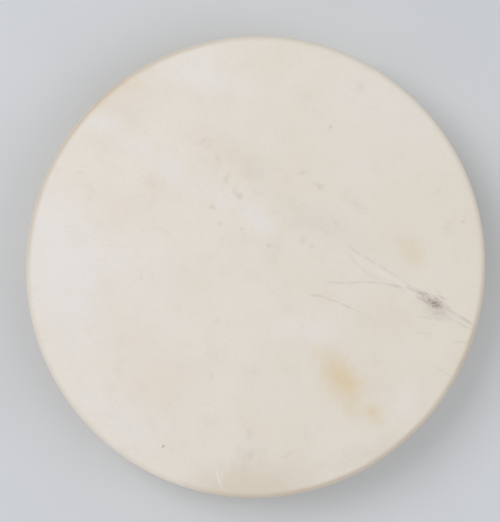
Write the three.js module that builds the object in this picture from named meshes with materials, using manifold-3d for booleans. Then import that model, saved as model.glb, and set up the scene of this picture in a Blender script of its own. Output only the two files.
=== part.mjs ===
// A laced frame drum of the 16 inch class: a rawhide head, dried over a bent wooden hoop and laced
// behind to a steel ring. One long lace makes four bundles, bound in suede, which are the hand grip.
// Millimetres, +Z up. The drum lies on its back edge with the head uppermost, and the origin is on
// the surface that it lies on, under the middle of the hoop.
import * as THREE from 'three';
import { mergeVertices } from 'three/addons/utils/BufferGeometryUtils.js';
import Module from 'manifold-3d';

const wasm = await Module();
wasm.setup();

const radians = THREE.MathUtils.degToRad;

// Driving dimensions: the hoop and the hide.
const headRadius = 203; // outside of the hide
const hoopHeight = 64;
const hoopThickness = 9;
const hoopCorner = 3; // rounding of the hoop's two outer edges
const hideThickness = 1.2;
const gap = 0.3; // between pieces that touch
const ovalShare = 0.0056; // the bent hoop's radius is this share more or less than a circle's
const ovalAzimuth = radians(61.4); // of the hoop's longest diameter
const hideLandRadius = 194.5; // the hide lies flat under the hoop from here outwards
const hideTipRadius = 173.5; // where the points of the hide's scalloped edge end
const hideRise = 4.1; // how far the lacing lifts those points

// The lacing, its ring and its grip.
const armCount = 4; // bundles of lacing
const runsPerArm = 5; // times that the lace goes out from the ring in a bundle, and back
const laceRadius = 1.4;
const laceHoleRadius = 2.6;
const laceHoleCircle = 181; // radius of the circle of holes in the hide
const slotPitch = 3.2; // between neighbouring strands in a bundle
const hookPitch = radians(7.6); // between neighbouring hooks of the lace round the ring
const ringRadius = 30; // middle of the ring's bar
const ringBarRadius = 2.5;
const ringHeight = 13; // the lacing is dished this far up, so that the drum lies on its edge
const knotRadius = 3.2;
const knotLength = 6;
const gripStart = 47; // distances from the drum's middle
const gripEnd = 88;
const gripTurns = 9; // of suede round one bundle
const gripBore = 7.2; // half the width of the space for the bundle
const gripThickness = 1.8;
const gripGroove = 0.6; // depth between two turns
const gripFlatness = 0.8; // height of the grip's section against its width

// The glued and riveted joint of the hoop.
const scarfAzimuth = radians(270);
const scarfSpan = radians(32);
const featherThickness = 0.8; // of the strip's two tapered ends
const rivetColumnOffset = radians(9); // each side of the joint's middle, on a flat side of the hoop
const rivetRowPitch = 17;
const rivetHeadRadius = 4;
const rivetHeadThickness = 0.9;
const rivetShankRadius = 1.3;
const rivetTailRadius = 2;
const rivetTailHeight = 0.9;
const burrRadius = 3.6;
const burrThickness = 0.8;

// Numbers of flat sides that stand for round surfaces.
const hoopSides = 60;
const scallopSides = 48;
const holeSides = 12;
const smallSides = 10;
const laceSides = 5;
const cornerSteps = 3;
const ringSides = 40;
const ringBarSides = 8;

// Worked out from the driving dimensions.
const skinDepth = hideThickness + gap;
const drumHeight = hoopHeight + 2 * skinDepth;
const hoopOuter = headRadius - skinDepth;
const hoopInner = hoopOuter - hoopThickness;
const hideCorner = hoopCorner + skinDepth;
const cornerCentre = headRadius - hideCorner;
const runPitch = (2 * Math.PI) / (armCount * runsPerArm); // from one lace hole to the next
const armPitch = (2 * Math.PI) / armCount;
const hookRadius = ringBarRadius + gap + laceRadius;
const slotRise = slotPitch * Math.sin(radians(60)); // between rows of strands in a bundle

const materials = {
  hide: new THREE.MeshStandardMaterial({ color: 0xded7cc, roughness: 0.55, metalness: 0 }),
  wood: new THREE.MeshStandardMaterial({ color: 0xc49a68, roughness: 0.6, metalness: 0 }),
  lace: new THREE.MeshStandardMaterial({ color: 0xd9c6a0, roughness: 0.5, metalness: 0 }),
  suede: new THREE.MeshStandardMaterial({ color: 0x8a5d3b, roughness: 0.95, metalness: 0 }),
  steel: new THREE.MeshStandardMaterial({ color: 0x9a9a98, roughness: 0.35, metalness: 1 }),
  copper: new THREE.MeshStandardMaterial({ color: 0xb8734a, roughness: 0.4, metalness: 1 }),
};

// ---- Points and profiles ----

const flat = (x, y) => new THREE.Vector2(x, y);

const polar = (radius, azimuth, z = 0) =>
  new THREE.Vector3(radius * Math.cos(azimuth), radius * Math.sin(azimuth), z);

// Evenly spaced numbers, with both ends.
const spread = (from, to, steps) =>
  Array.from({ length: steps + 1 }, (_, i) => from + ((to - from) * i) / steps);

const arc = (x, y, radius, fromDegrees, toDegrees, steps) =>
  spread(radians(fromDegrees), radians(toDegrees), steps).map((a) =>
    flat(x + radius * Math.cos(a), y + radius * Math.sin(a)),
  );

const closed = (profile) => [...profile, profile[0].clone()];

const turnedPoints = (points, azimuth) =>
  points.map((p) => p.clone().applyAxisAngle(new THREE.Vector3(0, 0, 1), azimuth));

// ---- Shapes ----

// A profile of (radius, height) turned about +Z.
const turnedAboutZ = (profile, sides) => new THREE.LatheGeometry(profile, sides).rotateX(Math.PI / 2);

// A profile of (radius, distance) turned about +X.
const turnedAboutX = (profile, sides) => new THREE.LatheGeometry(profile, sides).rotateZ(-Math.PI / 2);

const upright = (radius, height, sides) =>
  new THREE.CylinderGeometry(radius, radius, height, sides).rotateX(Math.PI / 2);

// A curve that an extrusion follows with exactly one step from each listed point to the next.
class Route extends THREE.Curve {
  constructor(points) {
    super();
    this.points = points;
    this.steps = points.length - 1;
  }

  getPoint(t, target = new THREE.Vector3()) {
    const i = Math.min(Math.floor(t * this.steps), this.steps - 1);
    return target.lerpVectors(this.points[i], this.points[i + 1], t * this.steps - i);
  }

  getPointAt(u, target) {
    return this.getPoint(u, target);
  }

  // Halfway between the directions before and after a listed point.
  getTangentAt(u, target = new THREE.Vector3()) {
    const i = Math.round(u * this.steps);
    const direction = (from) => this.points[from + 1].clone().sub(this.points[from]).normalize();
    const before = direction(Math.max(i - 1, 0));
    const after = direction(Math.min(i, this.steps - 1));
    return target.addVectors(before, after).normalize();
  }
}

// ---- Cutting ----

function solid(geometry) {
  const bare = geometry.clone();
  bare.deleteAttribute('normal');
  bare.deleteAttribute('uv');
  const merged = mergeVertices(bare, 1e-3);
  const vertProperties = new Float32Array(merged.attributes.position.array);
  const triVerts = new Uint32Array(merged.index.array);
  return new wasm.Manifold(new wasm.Mesh({ numProp: 3, vertProperties, triVerts }));
}

function cut(geometry, cutters) {
  const left = cutters.reduce((whole, cutter) => whole.subtract(solid(cutter)), solid(geometry));
  const mesh = left.getMesh();
  return new THREE.BufferGeometry()
    .setAttribute('position', new THREE.BufferAttribute(mesh.vertProperties, 3))
    .setIndex(new THREE.BufferAttribute(mesh.triVerts, 1));
}

// ---- The hide ----

// Height of the hide's underside where it turns in behind the hoop and rises to the lacing.
function flangeHeight(radius) {
  const share = (hideLandRadius - radius) / (hideLandRadius - hideTipRadius);
  return hideRise * share * (2 - share);
}

function hideProfile() {
  const top = drumHeight - hideCorner;
  const inside = hideCorner - hideThickness;
  const underside = spread(hideLandRadius, hideTipRadius, 4).map((r) => flat(r, flangeHeight(r)));
  const upside = underside.map((p) => flat(p.x, p.y + hideThickness));
  return [
    flat(0, drumHeight - hideThickness),
    ...arc(cornerCentre, top, inside, 90, 0, cornerSteps),
    ...arc(cornerCentre, hideCorner, inside, 0, -90, cornerSteps),
    ...upside,
    ...underside.reverse(),
    ...arc(cornerCentre, hideCorner, hideCorner, -90, 0, cornerSteps),
    ...arc(cornerCentre, top, hideCorner, 0, 90, cornerSteps),
    flat(0, drumHeight),
  ];
}

// The edge comes to a point at each lace hole, and runs back in an arc between two holes.
function drumHead() {
  const scallopRadius = 45;
  const scallopCircle = 135;
  const cutterHeight = 20; // through the turned-in edge, and short of the head
  const upTo = (radius, place, cutterRadius, sides) => {
    const { x, y } = polar(radius, place * runPitch);
    return upright(cutterRadius, cutterHeight, sides).translate(x, y, 0);
  };
  const cutters = spread(0, armCount * runsPerArm - 1, armCount * runsPerArm - 1).flatMap((i) => [
    upTo(laceHoleCircle, i, laceHoleRadius, holeSides),
    upTo(scallopCircle, i + 0.5, scallopRadius, scallopSides),
  ]);
  return cut(turnedAboutZ(hideProfile(), hoopSides), cutters);
}

// ---- The hoop and its joint ----

// The head bears only on the outer part of the top edge, because the rest slopes down.
function hoopProfile() {
  const topSlope = 2.5; // how far the top edge falls towards the inside
  const backBevel = 3; // cut off the back edge's inner corner
  const bottom = skinDepth;
  const top = drumHeight - skinDepth;
  return closed([
    ...arc(cornerCentre, bottom + hoopCorner, hoopCorner, -90, 0, cornerSteps),
    ...arc(cornerCentre, top - hoopCorner, hoopCorner, 0, 90, cornerSteps),
    flat(hoopInner, top - topSlope),
    flat(hoopInner, bottom + backBevel),
    flat(hoopInner + backBevel, bottom),
  ]);
}

// The glue line: a slot from the outer face to the inner one, so that the tapered ends overlap.
function scarfSlots() {
  const steps = 12;
  const slotHeight = 2 * drumHeight;
  const start = scarfAzimuth - scarfSpan / 2;
  const startRadius = hoopOuter - featherThickness;
  const endRadius = hoopInner + featherThickness;
  const edge = (offset) =>
    spread(0, 1, steps).map((share) => {
      const radius = THREE.MathUtils.lerp(startRadius, endRadius, share) + offset;
      const { x, y } = polar(radius, start + scarfSpan * share);
      return flat(x, y);
    });
  const outline = new THREE.Shape([...edge(-gap / 2), ...edge(gap / 2).reverse()]);
  const spiral = new THREE.ExtrudeGeometry(outline, { depth: slotHeight, bevelEnabled: false });
  const end = (radius, azimuth) =>
    new THREE.BoxGeometry(2 * featherThickness, gap, slotHeight)
      .translate(radius, 0, drumHeight / 2)
      .rotateZ(azimuth);
  return [
    spiral.translate(0, 0, (drumHeight - slotHeight) / 2),
    end(startRadius + featherThickness, start),
    end(endRadius - featherThickness, start + scarfSpan),
  ];
}

const apothem = (radius) => radius * Math.cos(Math.PI / hoopSides);
const woodOutside = apothem(hoopOuter);
const woodInside = apothem(hoopInner);

const rivetPlaces = [-1, 1].flatMap((column) =>
  [-1, 0, 1].map((row) => ({
    azimuth: scarfAzimuth + column * rivetColumnOffset,
    z: drumHeight / 2 + row * rivetRowPitch,
  })),
);

function rivetBore() {
  const over = 2; // past the wood's two faces
  const seat = woodOutside - rivetHeadThickness - gap;
  return turnedAboutX(
    [
      flat(0, woodInside - over),
      flat(rivetShankRadius + gap, woodInside - over),
      flat(rivetShankRadius + gap, seat),
      flat(rivetHeadRadius + gap, seat),
      flat(rivetHeadRadius + gap, woodOutside + over),
      flat(0, woodOutside + over),
    ],
    smallSides,
  );
}

function bentHoop() {
  const bores = rivetPlaces.map(({ azimuth, z }) => rivetBore().translate(0, 0, z).rotateZ(azimuth));
  return cut(turnedAboutZ(hoopProfile(), hoopSides), [...scarfSlots(), ...bores]);
}

// The flat head is sunk in the hoop's outer face, and the tail is hammered over the burr inside.
function rivet() {
  const tailBase = woodInside - burrThickness - 2 * gap;
  const shoulder = { out: 0.7 * rivetTailRadius, up: 0.8 * rivetTailHeight }; // of the domed tail
  const headEdge = 0.9 * rivetHeadRadius; // inside the head's rounded rim
  return turnedAboutX(
    [
      flat(0, tailBase - rivetTailHeight),
      flat(shoulder.out, tailBase - shoulder.up),
      flat(rivetTailRadius, tailBase),
      flat(rivetShankRadius, tailBase),
      flat(rivetShankRadius, woodOutside - rivetHeadThickness),
      flat(rivetHeadRadius, woodOutside - rivetHeadThickness),
      flat(headEdge, woodOutside),
      flat(0, woodOutside),
    ],
    smallSides,
  );
}

function burr() {
  const rounding = 0.3;
  const bore = rivetShankRadius + gap;
  const far = woodInside - gap;
  const near = far - burrThickness;
  return turnedAboutX(
    closed([
      flat(bore, near),
      flat(burrRadius - rounding, near),
      flat(burrRadius, near + rounding),
      flat(burrRadius, far),
      flat(bore, far),
    ]),
    smallSides,
  );
}

// ---- The lace ----

// The lace turns in its hole round the edge of the hide.
const turnSlack = 0.2; // because the turn's straight steps cut its corners
const turnRadius = hideThickness / 2 + gap + laceRadius + turnSlack;
const footSetback = laceHoleRadius - gap - laceRadius + turnRadius; // from the hole's middle
const footRadius = laceHoleCircle - footSetback;
const footHeight = flangeHeight(footRadius) + hideThickness / 2;
const armSlope = (ringHeight - footHeight) / (footRadius - ringRadius);
const armHeight = (radius) => ringHeight - (radius - ringRadius) * armSlope;

// The ten strands of a bundle lie in rows of three, four and three. Each of its five runs takes two
// places, as [sideways, up] in pitches: one on the way out, and one on the way back.
const bundle = [
  { out: [-1.5, 0], back: [-1, 1] },
  { out: [-1, -1], back: [-0.5, 0] },
  { out: [0, -1], back: [0, 1] },
  { out: [1, -1], back: [0.5, 0] },
  { out: [1.5, 0], back: [1, 1] },
];

// The lace's middle on the ring's bar: 0 degrees faces outwards, 90 is on top, 180 is inside the ring.
function onRing(azimuth, roundDegrees) {
  const a = radians(roundDegrees);
  return polar(ringRadius + hookRadius * Math.cos(a), azimuth, ringHeight + hookRadius * Math.sin(a));
}

const insideRing = (azimuth) => onRing(azimuth, 180);

// From inside the ring to where the strand leaves it, below the bar (-1) or above it (1).
function hook(place, side) {
  const sweep = 96; // degrees round the bar
  return spread(1, 0, 3).map((share) =>
    onRing((place + (side * share) / 2) * hookPitch, 180 - side * sweep * (1 - share)),
  );
}

// Straight through the grip and then aside towards the hole. The outer strands turn first.
function throughGrip(place, [sideways, up]) {
  const lead = 1; // straight length before the grip
  const tail = 5; // straight length after it, for the middle strand
  const earlier = 2; // how much less of it each strand further out has
  const bend = 3;
  const at = (radius) =>
    new THREE.Vector3(radius, sideways * slotPitch, armHeight(radius) + up * slotRise);
  const leave = at(gripEnd + tail - earlier * Math.abs(place));
  const heading = polar(laceHoleCircle, place * runPitch, leave.z).sub(leave).normalize();
  const halfway = heading.add(new THREE.Vector3(1, 0, 0)).normalize();
  return [at(gripStart - lead), leave, leave.clone().addScaledVector(halfway, bend)];
}

function turnInHole(place, approach) {
  const hole = polar(laceHoleCircle, place * runPitch, footHeight);
  const heading = hole.clone().sub(approach).setZ(0).normalize();
  const foot = hole.addScaledVector(heading, -footSetback);
  return [-90, -40, 0, 40, 90].map((angle) =>
    foot
      .clone()
      .addScaledVector(heading, turnRadius * Math.cos(radians(angle)))
      .add(new THREE.Vector3(0, 0, turnRadius * Math.sin(radians(angle)))),
  );
}

// Under the ring's bar, out to a hole, up through it and back over the bar, for an arm along +X.
function run({ out, back }, index) {
  const place = index - (runsPerArm - 1) / 2;
  const below = throughGrip(place, out);
  const above = throughGrip(place, back);
  return [
    ...hook(place, -1),
    ...below,
    ...turnInHole(place, below.at(-1)),
    ...above.reverse(),
    ...hook(place, 1).reverse().slice(0, -1), // the next run starts with the last point
  ];
}

// The knot lies inside the ring, midway between the last arm and the first.
const knotAzimuth = -armPitch / 2;
const knotCentre = polar(ringRadius - ringBarRadius - gap - knotRadius, knotAzimuth, ringHeight);

function laceRoute() {
  const edge = (runsPerArm / 2) * hookPitch; // of an arm's hooks
  const arm = bundle.flatMap(run);
  const passage = spread(edge, armPitch - edge, 6).slice(0, -1).map(insideRing);
  const beside = (distance) =>
    knotCentre.clone().add(polar(distance, knotAzimuth + Math.PI / 2));
  const end = knotLength / 2 + gap;
  const lead = 1.5; // straight length at each end of the lace
  const fromKnot = [beside(end), beside(end + lead), insideRing(-edge - hookPitch)];
  const toKnot = [
    insideRing(-armPitch + edge),
    insideRing(-armPitch + edge + hookPitch),
    beside(-end - lead),
    beside(-end),
  ];
  const points = [...fromKnot];
  for (let i = 0; i < armCount; i += 1) {
    points.push(...turnedPoints(arm, i * armPitch));
    if (i < armCount - 1) points.push(...turnedPoints(passage, i * armPitch));
  }
  return [...points, ...toKnot];
}

function lace() {
  const extrudePath = new Route(laceRoute());
  const section = new THREE.Shape(arc(0, 0, laceRadius, 0, 360, laceSides).slice(0, -1));
  return new THREE.ExtrudeGeometry(section, { steps: extrudePath.steps, extrudePath });
}

// The lace's two ends, tied together.
function laceKnot() {
  const half = knotLength / 2;
  const bulge = 0.4 * half; // half the length of its thickest part
  const profile = [
    flat(0, -half),
    flat(laceRadius + gap, -half),
    flat(knotRadius, -bulge),
    flat(knotRadius, bulge),
    flat(laceRadius + gap, half),
    flat(0, half),
  ];
  return turnedAboutX(profile, smallSides);
}

// ---- The suede ----

// One ridge for each turn of the suede, along the slope of its bundle.
function gripWrap() {
  const crest = gripBore + gripThickness;
  const valley = crest - gripGroove;
  const pitch = (gripEnd - gripStart) / gripTurns;
  const ridges = spread(0, gripTurns - 1, gripTurns - 1).flatMap((i) => [
    flat(valley, gripStart + pitch * i),
    flat(crest, gripStart + pitch * (i + 0.5)),
  ]);
  const profile = [...ridges, flat(valley, gripEnd), flat(gripBore, gripEnd), flat(gripBore, gripStart)];
  return turnedAboutX(closed(profile), holeSides)
    .translate(-ringRadius, 0, 0)
    .scale(1, 1, gripFlatness)
    .rotateY(Math.atan(armSlope))
    .translate(ringRadius, 0, ringHeight);
}

// ---- Assembly ----

// The two outer groups stretch the drum along its longest diameter.
const drum = new THREE.Group();
const stretched = new THREE.Group();
const parts = new THREE.Group();
drum.add(stretched);
stretched.add(parts);
stretched.rotation.z = ovalAzimuth;
stretched.scale.set(1 + ovalShare, 1 - ovalShare, 1);
parts.rotation.z = -ovalAzimuth;

function place(name, geometry, material, position = new THREE.Vector3(), azimuth = 0) {
  const mesh = new THREE.Mesh(geometry, material);
  mesh.name = name;
  mesh.position.copy(position);
  mesh.rotation.z = azimuth;
  parts.add(mesh);
}

place('drum_head', drumHead(), materials.hide);
place('hoop', bentHoop(), materials.wood);
rivetPlaces.forEach(({ azimuth, z }, i) => {
  const height = new THREE.Vector3(0, 0, z);
  place(`scarf_rivet_${i + 1}`, rivet(), materials.copper, height, azimuth);
  place(`scarf_burr_${i + 1}`, burr(), materials.copper, height, azimuth);
});

const ring = new THREE.TorusGeometry(ringRadius, ringBarRadius, ringBarSides, ringSides);
place('centre_ring', ring, materials.steel, new THREE.Vector3(0, 0, ringHeight));
place('rawhide_lace', lace(), materials.lace);
place('lace_knot', laceKnot(), materials.lace, knotCentre, knotAzimuth + Math.PI / 2);
for (let i = 0; i < armCount; i += 1) {
  place(`grip_wrap_${i + 1}`, gripWrap(), materials.suede, undefined, i * armPitch);
}

export default drum;
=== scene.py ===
"""The looks of a laced frame drum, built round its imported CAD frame.

Metres, +Z out of the playing head. The drum lies on its back edge, with the head uppermost.
"""
import math

import bmesh
import bpy
import numpy as np
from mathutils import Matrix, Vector


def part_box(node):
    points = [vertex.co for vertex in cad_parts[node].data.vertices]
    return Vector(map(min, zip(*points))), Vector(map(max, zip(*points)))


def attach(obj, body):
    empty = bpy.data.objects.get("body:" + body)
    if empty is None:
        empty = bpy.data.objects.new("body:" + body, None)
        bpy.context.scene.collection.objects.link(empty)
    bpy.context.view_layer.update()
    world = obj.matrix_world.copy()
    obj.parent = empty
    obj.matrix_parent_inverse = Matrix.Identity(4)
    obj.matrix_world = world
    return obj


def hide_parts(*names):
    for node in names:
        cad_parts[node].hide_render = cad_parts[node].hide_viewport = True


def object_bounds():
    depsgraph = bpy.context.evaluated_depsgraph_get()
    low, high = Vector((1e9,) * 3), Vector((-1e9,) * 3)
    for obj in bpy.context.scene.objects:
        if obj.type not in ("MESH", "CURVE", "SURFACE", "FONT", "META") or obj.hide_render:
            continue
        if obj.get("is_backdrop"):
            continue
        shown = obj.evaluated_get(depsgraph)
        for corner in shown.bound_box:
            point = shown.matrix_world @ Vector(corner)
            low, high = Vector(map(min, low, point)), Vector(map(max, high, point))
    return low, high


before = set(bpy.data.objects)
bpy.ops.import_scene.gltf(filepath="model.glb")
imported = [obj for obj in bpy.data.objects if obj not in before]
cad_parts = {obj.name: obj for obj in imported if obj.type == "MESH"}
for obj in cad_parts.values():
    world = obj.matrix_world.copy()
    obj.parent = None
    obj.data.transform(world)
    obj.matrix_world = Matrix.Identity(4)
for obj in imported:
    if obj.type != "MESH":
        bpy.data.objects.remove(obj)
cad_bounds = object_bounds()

MM = 0.001
TURN = 2 * math.pi
ARMS = 4  # bundles of lacing
RUNS = 5  # runs of the lace in a bundle
HOLES = ARMS * RUNS
ROOT = "root"
UP = np.array([0.0, 0.0, 1.0])


# ---- Sizes, from the frame ----

def node_size(node):
    low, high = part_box(node)
    return high - low


def mean_radius(node):
    size = node_size(node)
    return (size.x + size.y) / 4


HEAD_R = mean_radius("drum_head")
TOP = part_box("drum_head")[1].z
HOOP_R = mean_radius("hoop")
HOOP_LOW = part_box("hoop")[0].z
HOOP_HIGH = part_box("hoop")[1].z
BAR_R = node_size("centre_ring").z / 2
RING_R = mean_radius("centre_ring") - BAR_R
RING_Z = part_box("centre_ring")[0].z + BAR_R

# The middle of the dark scar in the head, in shares of the head's radius.
SCAR_PLACE = np.array([0.770, -0.158])

# Sizes that the nodes' boxes don't give, as in the CAD.
OVAL_SHARE = 0.0056  # the bent hoop's radius is this share more or less than a circle's
OVAL_AZIMUTH = math.radians(61.4)
GAP = 0.3 * MM
HIDE = 1.2 * MM  # thickness
CORNER = 4.5 * MM  # outer rounding of the hide at both edges
LAND_R = 194.5 * MM  # the hide lies flat under the hoop from here outwards
TIP_R = 173.5 * MM  # where the points of its cut edge end
HIDE_RISE = 4.1 * MM  # how far the lacing lifts them
HOLE_R = 2.6 * MM
HOLE_CIRCLE = 181 * MM
SCALLOP_R = 45 * MM
SCALLOP_CIRCLE = 135 * MM
HOOP_WALL = 9 * MM
HOOP_CORNER = 3 * MM
HOOP_TOP_SLOPE = 2.5 * MM
HOOP_BACK_BEVEL = 3 * MM
HOOP_INNER = HOOP_R - HOOP_WALL
SCARF_AZIMUTH = math.radians(270)
SCARF_SPAN = math.radians(32)
FEATHER = 0.8 * MM
RIVET_COLUMN_OFFSET = math.radians(9)
RIVET_ROW_PITCH = 17 * MM
RIVET_HEAD_R = 4 * MM
RIVET_HEAD_SEAT = 1.2 * MM  # depth of the seat that a head lies in
RIVET_SHANK_R = 1.3 * MM
RIVET_TAIL_R = 2 * MM
RIVET_TAIL_HEIGHT = 1.1 * MM
BURR_R = 3.6 * MM
BURR_THICKNESS = 1 * MM
LACE_R = 1.4 * MM  # of the space for one strand
LACE_HALF_WIDTH = 1.35 * MM
LACE_HALF_THICKNESS = 0.98 * MM
LACE_TWIST = 26 * MM  # length of one whole twist
SLOT_PITCH = 3.2 * MM
SLOT_RISE = SLOT_PITCH * math.sin(math.radians(60))
HOOK_PITCH = math.radians(7.6)
KNOT_R = 3.2 * MM
KNOT_LENGTH = 6 * MM
KNOT_TAIL = 7 * MM  # how far each end of the lace sticks out of its knot
WELD_AZIMUTH = math.radians(135)  # of the joint in the ring
GRIP_START = 47 * MM
GRIP_END = 88 * MM
GRIP_TURNS = 8  # whole turns of the suede strip
GRIP_BORE = 7.2 * MM  # radius inside
GRIP_FLATNESS = 0.8  # a wrap's height, as a share of its width

# Each run of a bundle takes two places in it, on the way out and on the way back. A place is
# (sideways, up), in pitches.
BUNDLE = [
    ((-1.5, 0), (-1, 1)),
    ((-1, -1), (-0.5, 0)),
    ((0, -1), (0, 1)),
    ((1, -1), (0.5, 0)),
    ((1.5, 0), (1, 1)),
]

# Worked out from the sizes above.
RUN_PITCH = TURN / HOLES
ARM_PITCH = TURN / ARMS
KNOT_AZIMUTH = -ARM_PITCH / 2  # between the last arm and the first
CORNER_CENTRE = HEAD_R - CORNER
HOOK_R = BAR_R + GAP + LACE_R
EDGE_TURN_R = HIDE / 2 + GAP + LACE_R + 0.2 * MM  # where the lace goes round the hide's edge
FOOT_SETBACK = HOLE_R - GAP - LACE_R + EDGE_TURN_R  # of that turn, from its hole's middle


def flange_height(radius):
    """Height of the hide's outside where it turns in behind the hoop."""
    share = (LAND_R - radius) / (LAND_R - TIP_R)
    return HIDE_RISE * share * (2 - share)


FOOT_HEIGHT = flange_height(HOLE_CIRCLE - FOOT_SETBACK) + HIDE / 2
ARM_SLOPE = (RING_Z - FOOT_HEIGHT) / (HOLE_CIRCLE - FOOT_SETBACK - RING_R)


# ---- Points ----

def xyz(x, y, z):
    return np.stack([x, y, z], axis=-1)


def polar(radius, azimuth, z=0.0):
    """Points at a radius, azimuth and height, any of which may be arrays."""
    radius, azimuth, z = np.broadcast_arrays(radius, azimuth, z)
    return xyz(radius * np.cos(azimuth), radius * np.sin(azimuth), z)


def oval(points):
    """The drum is bent a little longer along one diameter than across it."""
    c, s = math.cos(OVAL_AZIMUTH), math.sin(OVAL_AZIMUTH)
    along = (points[..., 0] * c + points[..., 1] * s) * (1 + OVAL_SHARE)
    across = (points[..., 1] * c - points[..., 0] * s) * (1 - OVAL_SHARE)
    return xyz(along * c - across * s, along * s + across * c, points[..., 2])


def turned(points, azimuth):
    c, s = math.cos(azimuth), math.sin(azimuth)
    x, y = points[..., 0], points[..., 1]
    return xyz(x * c - y * s, x * s + y * c, points[..., 2])


def unit(vectors):
    return vectors / np.linalg.norm(vectors, axis=-1, keepdims=True)


def smoothstep(low, high, value):
    share = np.clip((value - low) / (high - low), 0, 1)
    return share * share * (3 - 2 * share)


def ripple(azimuth, seed, lowest, highest):
    """A wavy number round the drum, about -1 to 1, from a few whole-number waves."""
    random = np.random.default_rng(seed)
    waves = np.arange(lowest, highest + 1)
    phases = random.uniform(0, TURN, len(waves))
    heights = random.uniform(0.5, 1, len(waves))
    total = sum(h * np.sin(w * azimuth + p) for w, p, h in zip(waves, phases, heights))
    return total / math.sqrt(len(waves))


# ---- Meshes ----

SHARP_EDGE = math.radians(50)  # faces that meet at more than this aren't shaded as one


def in_scene(name, data):
    """A new object in the scene, with that mesh, light or camera."""
    made = bpy.data.objects.new(name, data)
    bpy.context.scene.collection.objects.link(made)
    return made


class Skin:
    """Points and faces gathered into one mesh. Grids are arrays of point numbers."""

    def __init__(self):
        self.points = []
        self.faces = []
        self.looks = []  # each face's material, counted from 0
        self.look = 0
        self.count = 0

    def add(self, points):
        numbers = np.arange(self.count, self.count + points[..., 0].size)
        self.points.append(points.reshape(-1, 3))
        self.count += numbers.size
        return numbers.reshape(points.shape[:-1])

    def add_faces(self, faces):
        self.faces += faces
        self.looks += [self.look] * len(faces)

    def strip(self, one, other):
        """Quads between two rows of points."""
        self.add_faces(np.stack([one[:-1], one[1:], other[1:], other[:-1]], axis=-1).tolist())

    def belt(self, one, other):
        """Quads between two rings of points."""
        self.strip(np.append(one, one[0]), np.append(other, other[0]))

    def grid(self, rows, closed=False, skip=()):
        """Quads over a grid, but for the cells in skip, which are (row, column)."""
        if closed:
            rows = np.concatenate([rows, rows[:, :1]], axis=1)
        cells = np.stack([rows[:-1, :-1], rows[:-1, 1:], rows[1:, 1:], rows[1:, :-1]], axis=-1)
        keep = np.ones(cells.shape[:2], bool)
        for row, column in skip:
            keep[row, column] = False
        self.add_faces(cells[keep].tolist())

    def body(self, rows):
        """A closed body from a stack of rings, with a flat face at each end."""
        self.grid(rows, closed=True)
        self.add_faces([rows[0].tolist(), rows[-1].tolist()])

    def closed_ring(self, rows):
        """A body whose last ring of points is joined to its first."""
        self.grid(np.concatenate([rows, rows[:1]]), closed=True)

    def made(self, name):
        mesh = bpy.data.meshes.new(name)
        mesh.from_pydata(np.concatenate(self.points).tolist(), [], self.faces)
        mesh.polygons.foreach_set("material_index", self.looks)
        turn_faces_outwards(mesh)
        return in_scene(name, mesh)


def turn_faces_outwards(mesh):
    work = bmesh.new()
    work.from_mesh(mesh)
    bmesh.ops.recalc_face_normals(work, faces=work.faces)
    work.to_mesh(mesh)
    work.free()


def dressed(piece, slot, node, *materials):
    """Gives a piece its materials, and puts it in the place of that CAD node. Its slot is not used.
    """
    mesh = piece.data
    mesh.polygons.foreach_set("use_smooth", [True] * len(mesh.polygons))
    mesh.set_sharp_from_angle(angle=SHARP_EDGE)
    for material in materials:
        mesh.materials.append(material)
    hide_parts(node)
    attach(piece, ROOT)
    return piece


# ---- The hide ----

HIDE_COLUMNS = 480  # 24 to each lace hole
DISC_CELLS = HIDE_COLUMNS // 4  # along each side of the square that is wrapped into the flat head
CORNER_ROWS = 8
SIDE_ROWS = 24
FLANGE_ROWS = 11
HOLE_ROW = 7  # the row of the flange that runs through the holes
HOLE_REACH = 2  # cells round a hole's middle that its own rings replace


def head_relief(points):
    """Slight hills of the stretched head, flat at its rim, with a lump at the scar."""
    hill_height = 0.06 * MM
    lump_height = 0.25 * MM
    lump_reach = 12 * MM
    x, y = points[..., 0], points[..., 1]
    hills = np.sin(x / (61 * MM) + 1.3) * np.cos(y / (48 * MM)) + np.sin((x + y) / (35 * MM))
    scar_x, scar_y = SCAR_PLACE * HEAD_R
    lump = np.exp(-((np.hypot(x - scar_x, y - scar_y) / lump_reach) ** 2))
    inside_rim = 1 - smoothstep(0.86 * HEAD_R, 0.96 * HEAD_R, np.hypot(x, y))
    return (hill_height * hills + lump_height * lump) * inside_rim


def disc_points(radius, z):
    """A square grid wrapped into a disc, so that its edge points are evenly spaced."""
    share = np.linspace(-1, 1, DISC_CELLS + 1)
    a, b = np.meshgrid(share, share, indexing="ij")
    wide = np.abs(a) >= np.abs(b)
    out = np.where(wide, a, b)
    safe = np.where(out == 0, 1, out)  # to divide by, at the middle
    azimuth = np.where(wide, math.pi / 4 * b / safe, math.pi / 2 - math.pi / 4 * a / safe)
    points = polar(out * radius, azimuth, z)
    points[..., 2] += head_relief(points)
    return points


def disc_edge(grid):
    """The numbers round a disc's edge, from azimuth 0 upwards."""
    sides = [grid[-1, :-1], grid[:0:-1, -1], grid[0, :0:-1], grid[:-1, 0]]
    return np.roll(np.concatenate(sides), -DISC_CELLS // 2)


def flange_edge(azimuth):
    """Radius of the hide's cut edge: a point at each hole, an arc between two, cut by hand."""
    from_hole = np.abs((azimuth / RUN_PITCH + 0.5) % 1 - 0.5) * RUN_PITCH
    from_middle = RUN_PITCH / 2 - from_hole
    across = SCALLOP_CIRCLE * np.sin(from_middle)
    arc = SCALLOP_CIRCLE * np.cos(from_middle) + np.sqrt(SCALLOP_R**2 - across**2)
    unevenness = 0.35 * MM
    return np.maximum(arc, TIP_R) + unevenness * ripple(azimuth, 4, 18, 45)


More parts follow.
